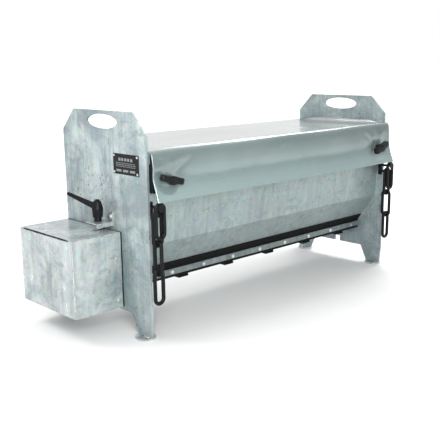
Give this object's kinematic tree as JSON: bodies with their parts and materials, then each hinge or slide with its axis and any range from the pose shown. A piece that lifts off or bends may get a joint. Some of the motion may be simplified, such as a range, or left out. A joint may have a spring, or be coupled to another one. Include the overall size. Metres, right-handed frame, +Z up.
{
  "type": "electric box spreader",
  "caption": "Galvanised box spreader with a motor-driven agitator, a clamped metering slide, a tarpaulin cover with turn knobs, and hanging chains.",
  "frame": {"origin": "middle of the bounding box at floor level, between the foot discs", "axes": "+X along the hopper away from the drive cover, +Y towards the tarpaulin hinge at the rear, +Z up"},
  "size_m": [1.186, 0.4315, 0.575],
  "materials": {
    "galvanised": "hot-dip galvanised, mottled grey with vertical streaks",
    "galvanised_cover": "bright hot-dip galvanised",
    "zinc": "bright zinc plated",
    "rubber": "matt black",
    "black_plastic": "satin black",
    "rating_plate": "printed black label plate",
    "gear_casting": "painted casting",
    "motor_paint": "black enamel",
    "shaft_steel": "plain turned steel",
    "bronze": "bronze",
    "tarpaulin": "silver-grey coated tarpaulin, smooth and slightly shiny",
    "chain_black": "satin black"
  },
  "bodies": {
    "hopper": {"end_plate_left": "galvanised", "end_plate_right": "galvanised", "foot_pads": "zinc", "hopper_front_panel": "galvanised", "hopper_rear_panel": "galvanised", "hopper_floor": "galvanised", "apron_rubber": "rubber", "apron_bars": "zinc", "apron_bolts": "zinc", "slide_guides": "black_plastic", "shaft_bush_left": "black_plastic", "shaft_bush_right": "black_plastic", "gearbox_housing": "gear_casting", "gearbox_lid": "gear_casting", "gearbox_spacers": "zinc", "gearbox_bolts": "zinc", "motor_can": "motor_paint", "motor_end_cap": "gear_casting", "motor_cover": "galvanised_cover", "cover_seal": "rubber", "cover_tabs": "zinc", "cover_screws": "zinc", "clamp_bracket": "zinc", "bracket_bolts": "zinc", "rating_plate": "rating_plate", "plate_rivets": "zinc", "tarp_rear_strip": "tarpaulin", "tarp_clamp_bar": "zinc", "tarp_clamp_bolts": "zinc", "end_seals": "rubber", "knob_brackets": "zinc", "chain_hooks": "zinc", "cable_gland": "black_plastic"},
    "agitator": {"agitator_shaft": "shaft_steel", "agitator_fingers": "shaft_steel", "shaft_collars": "shaft_steel", "worm_wheel": "bronze"},
    "worm": {"worm_shaft": "shaft_steel"},
    "metering": {"metering_slide": "galvanised", "slide_arm": "galvanised", "arm_bolts": "zinc", "clamp_stud": "zinc"},
    "clamp_lever": {"lever_handle": "black_plastic", "lever_screw": "black_plastic"},
    "cover": {"tarp_top": "tarpaulin"},
    "flap": {"tarp_flap": "tarpaulin", "flap_eyelets": "zinc"},
    "turn_knob_left": {"knob_left": "black_plastic", "knob_left_stud": "zinc"},
    "turn_knob_right": {"knob_right": "black_plastic", "knob_right_stud": "zinc"},
    "link_left_spare": {"chain_left_spare": "chain_black"},
    "link_left_top": {"chain_left_top": "chain_black"},
    "link_left_mid": {"chain_left_mid": "chain_black"},
    "link_left_end": {"chain_left_end": "chain_black"},
    "link_right_spare": {"chain_right_spare": "chain_black"},
    "link_right_top": {"chain_right_top": "chain_black"},
    "link_right_mid": {"chain_right_mid": "chain_black"},
    "link_right_end": {"chain_right_end": "chain_black"}
  },
  "joints": [
    {"name": "agitator_spin", "type": "hinge", "parent": "hopper", "child": "agitator", "pos_m": [0.063, 0.01075, 0.175], "axis": [1, 0, 0], "continuous": true},
    {"name": "worm_spin", "type": "hinge", "parent": "hopper", "child": "worm", "pos_m": [-0.523, 0.07075, 0.139], "axis": [0, 1, 0], "continuous": true},
    {"name": "metering_travel", "type": "slide", "parent": "hopper", "child": "metering", "axis": [1, 0, 0], "range_m": [-0.013, 0.007]},
    {"name": "lever_turn", "type": "hinge", "parent": "metering", "child": "clamp_lever", "pos_m": [-0.467, 0.01075, 0.3], "axis": [0, 0, 1], "range_deg": [-30, 135]},
    {"name": "cover_open", "type": "hinge", "parent": "hopper", "child": "cover", "pos_m": [0.063, 0.20075, 0.4835], "axis": [-1, 0, 0], "range_deg": [0, 105]},
    {"name": "flap_lift", "type": "hinge", "parent": "cover", "child": "flap", "pos_m": [0.063, -0.17925, 0.4835], "axis": [-1, 0, 0], "range_deg": [0, 95]},
    {"name": "knob_left_turn", "type": "hinge", "parent": "flap", "child": "turn_knob_left", "pos_m": [-0.393, -0.19425, 0.413], "axis": [0, -1, 0], "continuous": true},
    {"name": "knob_right_turn", "type": "hinge", "parent": "flap", "child": "turn_knob_right", "pos_m": [0.499, -0.19425, 0.413], "axis": [0, -1, 0], "continuous": true},
    {"name": "spare_left_swing", "type": "hinge", "parent": "hopper", "child": "link_left_spare", "pos_m": [-0.432, -0.20345, 0.3465], "axis": [0, 1, 0], "range_deg": [-6, 6]},
    {"name": "top_left_swing", "type": "hinge", "parent": "hopper", "child": "link_left_top", "pos_m": [-0.432, -0.19225, 0.3265], "axis": [0, 1, 0], "range_deg": [-10, 10]},
    {"name": "mid_left_swing", "type": "hinge", "parent": "link_left_top", "child": "link_left_mid", "pos_m": [-0.432, -0.19225, 0.251], "axis": [1, 0, 0], "range_deg": [-15, 0]},
    {"name": "end_left_swing", "type": "hinge", "parent": "link_left_mid", "child": "link_left_end", "pos_m": [-0.432, -0.19225, 0.1765], "axis": [0, 1, 0], "range_deg": [-15, 15]},
    {"name": "spare_right_swing", "type": "hinge", "parent": "hopper", "child": "link_right_spare", "pos_m": [0.558, -0.20345, 0.3465], "axis": [0, 1, 0], "range_deg": [-6, 6]},
    {"name": "top_right_swing", "type": "hinge", "parent": "hopper", "child": "link_right_top", "pos_m": [0.558, -0.19225, 0.3265], "axis": [0, 1, 0], "range_deg": [-10, 10]},
    {"name": "mid_right_swing", "type": "hinge", "parent": "link_right_top", "child": "link_right_mid", "pos_m": [0.558, -0.19225, 0.251], "axis": [1, 0, 0], "range_deg": [-15, 0]},
    {"name": "end_right_swing", "type": "hinge", "parent": "link_right_mid", "child": "link_right_end", "pos_m": [0.558, -0.19225, 0.1765], "axis": [0, 1, 0], "range_deg": [-15, 15]}
  ],
  "couplings": [
    {"joint": "worm_spin", "follows": "agitator_spin", "ratio": 30}
  ]
}
